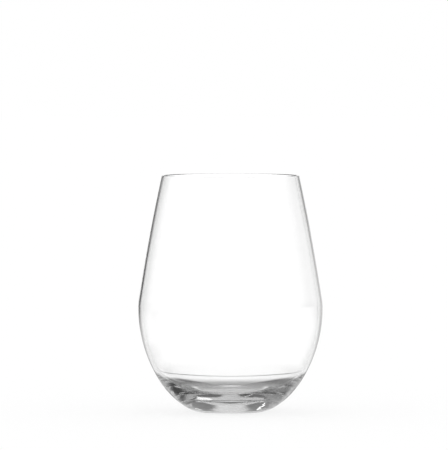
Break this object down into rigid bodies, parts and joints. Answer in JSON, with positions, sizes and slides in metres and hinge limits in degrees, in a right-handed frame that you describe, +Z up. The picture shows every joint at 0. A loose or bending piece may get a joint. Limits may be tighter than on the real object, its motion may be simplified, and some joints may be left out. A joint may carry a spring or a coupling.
{
  "type": "stemless wine glass",
  "caption": "Stemless wine glass: a low belly, a thin wall that tapers in to a plain rounded lip, and a thick solid bottom with a small flat foot.",
  "frame": {"origin": "centre of the flat foot, in the plane that the glass stands on", "axes": "+Z up along the axis of the glass; X and Y lie level and are alike, because the glass is round"},
  "size_m": [0.0938, 0.0938, 0.12],
  "materials": {
    "glass": "clear, fire-polished"
  },
  "bodies": {
    "root": {"base": "glass", "bowl": "glass", "rim": "glass"}
  },
  "joints": []
}
